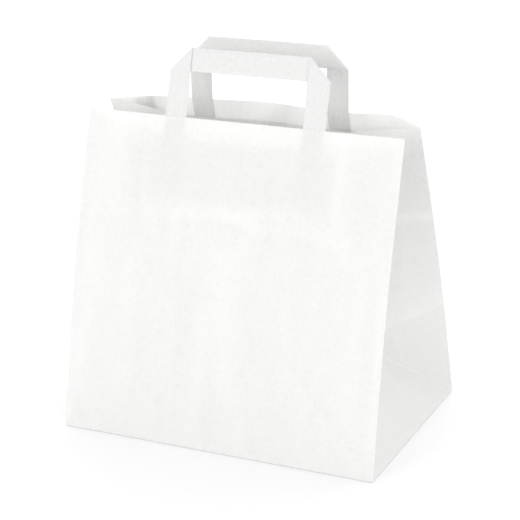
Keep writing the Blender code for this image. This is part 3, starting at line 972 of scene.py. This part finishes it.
def route_rows(side, rise, w, t):
    """Rows of one half of the route, from the glued end of a leg to the end of the bar."""
    levels = np.concatenate([np.linspace(-LEG_INSIDE, 0, LEG_STEPS), np.linspace(0, rise, LEG_STEPS)[1:]])
    rows = [(side * (OUTER - w), up + 0 * w, SEAT_GAP + t) for up in levels]
    rows += [(side * (OUTER - w), rise + w * k, SEAT_GAP + t) for k in TURN_SHARES]
    radius = TAPE + FOLD_GAP / 2 - t
    middle = SEAT_GAP + TAPE + FOLD_GAP / 2
    for angle in np.linspace(0, math.pi, FOLD_STEPS):
        reach = radius * math.sin(angle) * math.sqrt(0.5)
        rows.append((side * (OUTER - w + reach), rise + w + reach, middle - radius * math.cos(angle)))
    for k in (*TURN_SHARES, 1):
        rows.append((side * ((OUTER - w) * (1 - k) + BAR_END * k), rise + w, BAR_BACK - t))
    return rows


def build_handle(panel):
    """One handle, its section carried along its route."""
    section = tape_section()
    w, t = section[:, 0], section[:, 1]
    rise = CORNER_RISE[panel]
    rows = route_rows(-1, rise, w, t)
    rows += [(x + 0 * w, rise + w, BAR_BACK - t) for x in np.linspace(-BAR_END, BAR_END, BAR_STEPS)[1:-1]]
    rows += route_rows(1, rise, w, t)[::-1]
    points = np.array([handle_point(panel, *row) for row in rows])
    count = len(section)
    faces = tube_faces(len(rows), count)
    faces += [tuple(range(count)), tuple((len(rows) - 1) * count + i for i in range(count))]
    handle = block_mesh(panel + "_tape_handle", points, faces, TAPE_PAPER_PAINTED_SHADE)
    middle = points.mean(axis=1)
    run = np.concatenate([[0], np.cumsum(np.linalg.norm(np.diff(middle, axis=0), axis=1))])
    grain = np.stack(np.broadcast_arrays(w, t, run[:, None]), axis=-1)
    store(handle.data, "grain", "FLOAT_VECTOR", "POINT", grain)
    weld_and_smooth(handle, SHARP_TAPE)
    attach(handle, "root")
    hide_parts(panel + "_handle")
    print(handle.name, "made of", len(handle.data.polygons), "faces")


for panel in OUT:
    build_handle(panel)

# %% [markdown]
# ## The patches over the legs
#
# Inside the mouth a strip of paper is glued over both legs of each handle. It lies on the panel
# between and beside the legs and steps up over them, as glued paper does.

# %% Patches
PATCH_BELOW_MOUTH = 0.016
PATCH_HEIGHT = 0.045
PATCH_RAMP = 0.0025
STEP_RUN = 0.0003
PATCH_CELL = 0.0015
SHARP_PLY = math.radians(50)


def patch_depth(across):
    """How far the patch lies from the panel: it steps up over each leg."""
    beyond = np.maximum(np.abs(across) - OUTER, BAR_END - np.abs(across))
    over = 1 - smooth_step((np.clip(beyond, 0, None) - STEP_RUN) / PATCH_RAMP)
    return SEAT_GAP + over * (TAPE + SEAT_GAP)


def build_patch(panel):
    """The patch as a thin closed plate."""
    end = OUTER + PATCH_MARGIN
    across = even(-end, end, PATCH_CELL)
    up = even(-PATCH_BELOW_MOUTH - PATCH_HEIGHT, -PATCH_BELOW_MOUTH, PATCH_CELL * 2)
    rows = []
    for level in up:
        depth = patch_depth(across)
        rows.append(np.concatenate([handle_point(panel, across, level, depth),
                                    handle_point(panel, across, level, depth + PAPER)[::-1]]))
    points = np.array(rows)
    faces = plate_faces(len(up), points.shape[1])
    patch = block_mesh(panel + "_leg_patch", points, faces, PATCH_PAPER)
    weld_and_smooth(patch, SHARP_PLY)
    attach(patch, "root")
    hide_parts(panel + "_handle_patch")
    print(patch.name, "made of", len(patch.data.polygons), "faces")


for panel in OUT:
    build_patch(panel)

# %% [markdown]
# ## The flaps of the base
#
# The foot of the tube is closed by four flaps. The two short ones fold in first and show on the
# floor inside. The two long ones, cut at 45 degrees at their ends, fold over them from outside and
# overlap down the middle, where they are glued.

# %% Flaps
BASE_FLAP = 0.100
FLAP_MARGIN = 0.0009
PLY_AIR = 0.00001


def flap(name, outline, low):
    """A flap as a plate one ply thick."""
    count = len(outline)
    points = [(x, y, low) for x, y in outline] + [(x, y, low + PAPER - PLY_AIR) for x, y in outline]
    faces = [tuple(range(count)), tuple(range(count, 2 * count))]
    faces += [(i, (i + 1) % count, count + (i + 1) % count, count + i) for i in range(count)]
    plate = block_mesh(name, points, faces, BAG_PAPER)
    weld_and_turn(plate)
    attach(plate, "root")
    print(name, "lies", round(low * 1000, 2), "mm above the table")


def build_flaps():
    """Two long flaps under the floor and two short ones on it."""
    wide = HALF_WIDTH - FLAP_MARGIN
    deep = HALF_GUSSET - FLAP_MARGIN
    tip = BASE_FLAP - FLAP_MARGIN
    for panel, plies_below in (("front", 3), ("rear", 2)):
        side = OUT[panel]
        outline = [(-wide, side * deep), (wide, side * deep),
                   (wide - tip, side * (deep - tip)), (tip - wide, side * (deep - tip))]
        flap(panel + "_base_flap", outline, FLOOR - plies_below * PAPER)
    for name, side in (("right", 1), ("left", -1)):
        inner = side * (HALF_WIDTH - BASE_FLAP)
        outline = [(inner, -deep), (side * wide, -deep), (side * wide, deep), (inner, deep)]
        flap(name + "_base_flap", outline, FLOOR + PLY_AIR)


build_flaps()

# %% [markdown]
# ## The seam down the back
#
# The sheet becomes a tube where its edges overlap by 15 mm and are glued, down the left side of the
# rear panel. From behind, that shows as one more ply with a free edge.

# %% Back seam
LAP = 0.015
LAP_FROM_EDGE = 0.020
SEAM_FOOT_GAP = 0.0012
SEAM_TOP_GAP = 0.0002


def build_seam():
    """The overlapping ply, as a strip on the outer face of the rear panel."""
    free_edge = LAP_FROM_EDGE - HALF_WIDTH
    across = even(free_edge, free_edge + LAP, TOOTH_PITCH / 2)
    up = even(SEAM_FOOT_GAP, HEIGHT - TOOTH_DEPTH - SEAM_TOP_GAP, TOOTH_PITCH)[:, None]
    places = sheet_point("rear", across[None, :], up)
    normals = outward("rear", across[None, :], up)
    lift = PAPER + PLY_AIR
    low = places + normals * lift
    high = places + normals * (lift + PAPER)
    points = np.concatenate([low, high[:, ::-1]], axis=1)
    seam = block_mesh("back_seam_ply", points, plate_faces(len(up), points.shape[1]), BAG_PAPER)
    weld_and_smooth(seam, SHARP_PLY)
    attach(seam, "root")
    print(seam.name, "made of", len(seam.data.polygons), "faces")


build_seam()

# %% [markdown]
# ## The lamps
#
# White paper on white needs soft light with a direction. A low key light from the front right is
# narrow enough to throw the shadows of the front legs onto the rear panel. A wide light from the
# front left evens out the front panel, and the gusset, which turns away from it, stays a step
# darker, and its painted facet shade darkens it further. Both are sun lamps, because a far lamp
# lights the top and the foot of the bag alike.

# %% Lamps
LAMPS = (("key_light", 48, 12, 8, 0.62), ("left_light", -35, 14, 30, 0.70))


def soft_light(name, azimuth, elevation, spread, strength):
    """A distant soft light from one direction. spread is how wide it looks from the bag."""
    lamp = bpy.data.lights.new(name, "SUN")
    lamp.angle = math.radians(spread)
    lamp.energy = strength
    stand(in_scene(name, lamp), math.radians(azimuth), math.radians(elevation), 1.0)
    print(name, "at", azimuth, "degrees round and", elevation, "up, with strength", strength)


for lamp in LAMPS:
    soft_light(*lamp)

# %% [markdown]
# ## The white world
#
# A studio for white goods is white all round, so the world fills in the rest of the light. It glows
# towards the back, as a lit backdrop does, and that glow shines through the thin paper into the bag.
# To the camera the whole world is plain white: a Light Path node tells its rays from those that
# bounce, so the background stays white without any more light.

# %% World
WORLD_STRENGTH = 0.84
BACKDROP_GLOW = 1.0
GLOW_DIRECTION = (0, 0.87, 0.5)
GLOW_EDGE = 0.55


def to_be_seen(tree):
    """1 for rays from the camera and for mirror and glass rays, 0 for light that bounces."""
    path = tree.nodes.new("ShaderNodeLightPath").outputs
    first = worked_out(tree, "MAXIMUM", path["Is Camera Ray"], path["Is Glossy Ray"])
    return worked_out(tree, "MAXIMUM", first, path["Is Transmission Ray"])


def glow_behind(tree):
    """The world's strength: even all round, with a soft glow where the lit backdrop stands."""
    place = tree.nodes.new("ShaderNodeTexCoord")
    towards = tree.nodes.new("ShaderNodeVectorMath")
    towards.operation = "DOT_PRODUCT"
    towards.inputs[1].default_value = GLOW_DIRECTION
    tree.links.new(place.outputs["Generated"], towards.inputs[0])
    spread = add_node(tree, "ShaderNodeMapRange", Value=towards.outputs["Value"],
                      From_Min=GLOW_EDGE, From_Max=1.0,
                      To_Min=WORLD_STRENGTH, To_Max=WORLD_STRENGTH + BACKDROP_GLOW)
    spread.interpolation_type = "SMOOTHSTEP"
    return spread.outputs["Result"]


def white_world():
    """A white world that lights with its own strength and is seen as plain white."""
    world = bpy.data.worlds.new("white_studio")
    world.use_nodes = True
    tree = world.node_tree
    lit = tree.nodes["Background"]
    lit.inputs["Color"].default_value = (1, 1, 1, 1)
    tree.links.new(glow_behind(tree), lit.inputs["Strength"])
    seen = add_node(tree, "ShaderNodeBackground", Color=(1, 1, 1, 1))
    mix_shaders(tree, to_be_seen(tree), lit, seen, "World Output")
    bpy.context.scene.world = world


white_world()
bpy.context.scene.view_settings.view_transform = "Standard"
print("world strength:", WORLD_STRENGTH, "with a glow of", BACKDROP_GLOW, "at the back")

# %% [markdown]
# ## The floor
#
# The floor is a wide pale sheet, as in a product studio. It is white to the camera and a little
# greyer to the light that bounces, so its far edge can't be seen and it still keeps the bag's soft
# shadow.

# %% Floor
FLOOR_HALF = 4.0
FLOOR_TO_LIGHT = (0.97, 0.97, 0.97, 1)
FLOOR_TO_CAMERA = (1.0, 1.0, 1.0, 1)


def build_floor():
    """A wide pale floor, white to the camera and a little greyer to bouncing light."""
    material = bpy.data.materials.new("studio_floor")
    material.use_nodes = True
    tree = material.node_tree
    shader = tree.nodes["Principled BSDF"]
    shader.inputs["Roughness"].default_value = 0.9
    shader.inputs["Specular IOR Level"].default_value = 0.0
    mix = tree.nodes.new("ShaderNodeMix")
    mix.data_type = "RGBA"
    mix.inputs["A"].default_value = FLOOR_TO_LIGHT
    mix.inputs["B"].default_value = FLOOR_TO_CAMERA
    tree.links.new(to_be_seen(tree), mix.inputs["Factor"])
    tree.links.new(mix.outputs["Result"], shader.inputs["Base Color"])
    corners = [(x * FLOOR_HALF, y * FLOOR_HALF, 0) for x, y in ((-1, -1), (1, -1), (1, 1), (-1, 1))]
    floor = block_mesh("studio_floor", corners, [(0, 1, 2, 3)], material)


build_floor()
print("floor reaches", FLOOR_HALF, "m each way")
